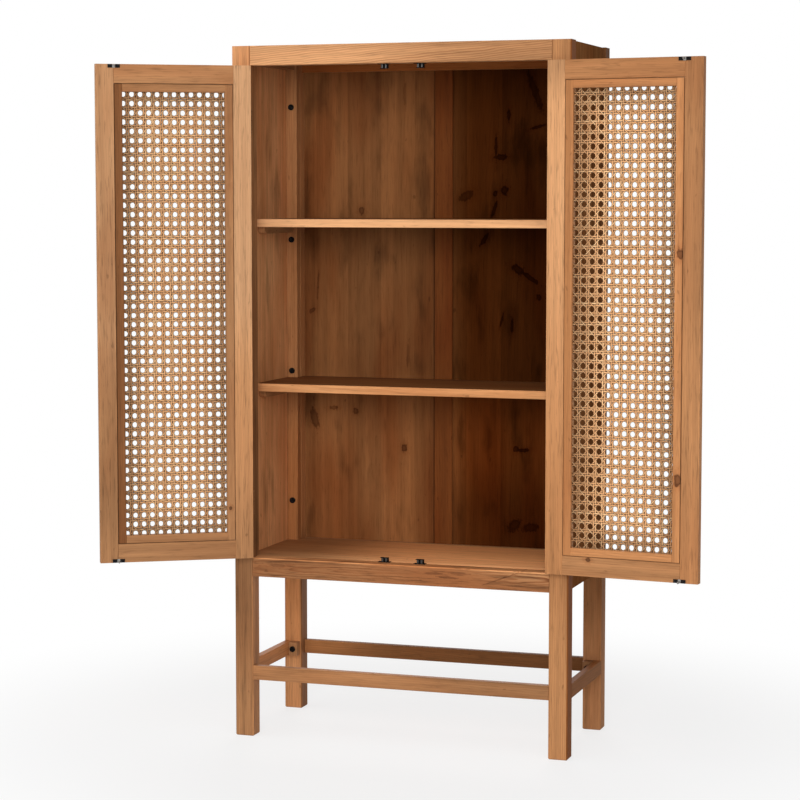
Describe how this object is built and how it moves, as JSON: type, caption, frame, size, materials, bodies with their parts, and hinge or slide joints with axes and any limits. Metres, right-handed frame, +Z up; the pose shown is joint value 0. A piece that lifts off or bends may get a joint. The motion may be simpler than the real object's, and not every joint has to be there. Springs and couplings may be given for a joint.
{
  "type": "storage cabinet",
  "caption": "Tall pine storage cabinet on a stretchered leg frame, with shelves behind inset framed doors of woven cane that swing on butt hinges and close on roller catches.",
  "frame": {"origin": "on the floor, under the middle of the case between the four posts", "axes": "+X to the right of someone facing the doors, +Y to the rear of the cabinet, +Z up"},
  "size_m": [1.5287, 0.6342, 1.8],
  "materials": {
    "post_pine": "satin clear-lacquered pine",
    "rail_pine": "satin clear-lacquered pine",
    "door_pine": "satin clear-lacquered pine",
    "door_bead_pine": "satin clear-lacquered pine",
    "panel_pine": "satin clear-lacquered pine",
    "shelf_pine": "satin clear-lacquered pine",
    "inner_pine": "satin clear-lacquered pine",
    "woven_cane": "natural woven rattan cane",
    "black_steel": "black lacquer",
    "catch_roller": "dark plastic",
    "hinge_steel": "aged brass plating",
    "bolt_steel": "dark bronze lacquer"
  },
  "bodies": {
    "carcass": {"back_frame_bolts": "bolt_steel", "back_muntin": "panel_pine", "catch_brackets": "black_steel", "corner_blocks": "inner_pine", "floor_battens": "inner_pine", "floor_panel": "panel_pine", "front_bottom_rail": "rail_pine", "front_left_post": "post_pine", "front_right_post": "post_pine", "front_stretcher": "post_pine", "front_top_rail": "rail_pine", "hinge_pins": "hinge_steel", "left_back_panel": "panel_pine", "left_rear_cleat": "inner_pine", "left_side_panel": "panel_pine", "left_stretcher": "post_pine", "lower_shelf": "shelf_pine", "lower_shelf_cleats": "shelf_pine", "post_hinge_leaves": "hinge_steel", "rear_bottom_rail": "rail_pine", "rear_left_post": "post_pine", "rear_right_post": "post_pine", "rear_stretcher": "post_pine", "rear_top_rail": "rail_pine", "right_back_panel": "panel_pine", "right_rear_cleat": "inner_pine", "right_side_panel": "panel_pine", "right_stretcher": "post_pine", "stretcher_bolts": "bolt_steel", "top_battens": "inner_pine", "top_panel": "panel_pine", "upper_shelf": "shelf_pine", "upper_shelf_cleats": "shelf_pine"},
    "left_door": {"left_door_bottom_rail": "door_pine", "left_door_cane": "woven_cane", "left_door_hinge_leaves": "hinge_steel", "left_door_hinge_stile": "door_pine", "left_door_inner_beads": "door_bead_pine", "left_door_meeting_stile": "door_pine", "left_door_outer_beads": "door_bead_pine", "left_door_strikes": "black_steel", "left_door_top_rail": "door_pine"},
    "right_door": {"right_door_bottom_rail": "door_pine", "right_door_cane": "woven_cane", "right_door_hinge_leaves": "hinge_steel", "right_door_hinge_stile": "door_pine", "right_door_inner_beads": "door_bead_pine", "right_door_meeting_stile": "door_pine", "right_door_outer_beads": "door_bead_pine", "right_door_strikes": "black_steel", "right_door_top_rail": "door_pine"},
    "lower_left_catch_left_roller": {"lower_left_catch_left_roller": "catch_roller"},
    "lower_left_catch_right_roller": {"lower_left_catch_right_roller": "catch_roller"},
    "lower_right_catch_left_roller": {"lower_right_catch_left_roller": "catch_roller"},
    "lower_right_catch_right_roller": {"lower_right_catch_right_roller": "catch_roller"},
    "upper_left_catch_left_roller": {"upper_left_catch_left_roller": "catch_roller"},
    "upper_left_catch_right_roller": {"upper_left_catch_right_roller": "catch_roller"},
    "upper_right_catch_left_roller": {"upper_right_catch_left_roller": "catch_roller"},
    "upper_right_catch_right_roller": {"upper_right_catch_right_roller": "catch_roller"}
  },
  "joints": [
    {"name": "left_door_hinge", "type": "hinge", "parent": "carcass", "child": "left_door", "pos_m": [-0.399, -0.2045, 1.113], "axis": [0, 0, -1], "range_deg": [-148.5, 31.5]},
    {"name": "right_door_hinge", "type": "hinge", "parent": "carcass", "child": "right_door", "pos_m": [0.399, -0.2045, 1.113], "axis": [0, 0, 1], "range_deg": [-174.1, 5.9]},
    {"name": "lower_left_catch_left_roller_spin", "type": "hinge", "parent": "carcass", "child": "lower_left_catch_left_roller", "pos_m": [-0.053, -0.165, 0.481], "axis": [0, 0, 1], "continuous": true},
    {"name": "lower_left_catch_right_roller_spin", "type": "hinge", "parent": "carcass", "child": "lower_left_catch_right_roller", "pos_m": [-0.043, -0.165, 0.481], "axis": [0, 0, 1], "continuous": true},
    {"name": "lower_right_catch_left_roller_spin", "type": "hinge", "parent": "carcass", "child": "lower_right_catch_left_roller", "pos_m": [0.043, -0.165, 0.481], "axis": [0, 0, 1], "continuous": true},
    {"name": "lower_right_catch_right_roller_spin", "type": "hinge", "parent": "carcass", "child": "lower_right_catch_right_roller", "pos_m": [0.053, -0.165, 0.481], "axis": [0, 0, 1], "continuous": true},
    {"name": "upper_left_catch_left_roller_spin", "type": "hinge", "parent": "carcass", "child": "upper_left_catch_left_roller", "pos_m": [-0.053, -0.165, 1.744], "axis": [0, 0, 1], "continuous": true},
    {"name": "upper_left_catch_right_roller_spin", "type": "hinge", "parent": "carcass", "child": "upper_left_catch_right_roller", "pos_m": [-0.043, -0.165, 1.744], "axis": [0, 0, 1], "continuous": true},
    {"name": "upper_right_catch_left_roller_spin", "type": "hinge", "parent": "carcass", "child": "upper_right_catch_left_roller", "pos_m": [0.043, -0.165, 1.744], "axis": [0, 0, 1], "continuous": true},
    {"name": "upper_right_catch_right_roller_spin", "type": "hinge", "parent": "carcass", "child": "upper_right_catch_right_roller", "pos_m": [0.053, -0.165, 1.744], "axis": [0, 0, 1], "continuous": true}
  ]
}
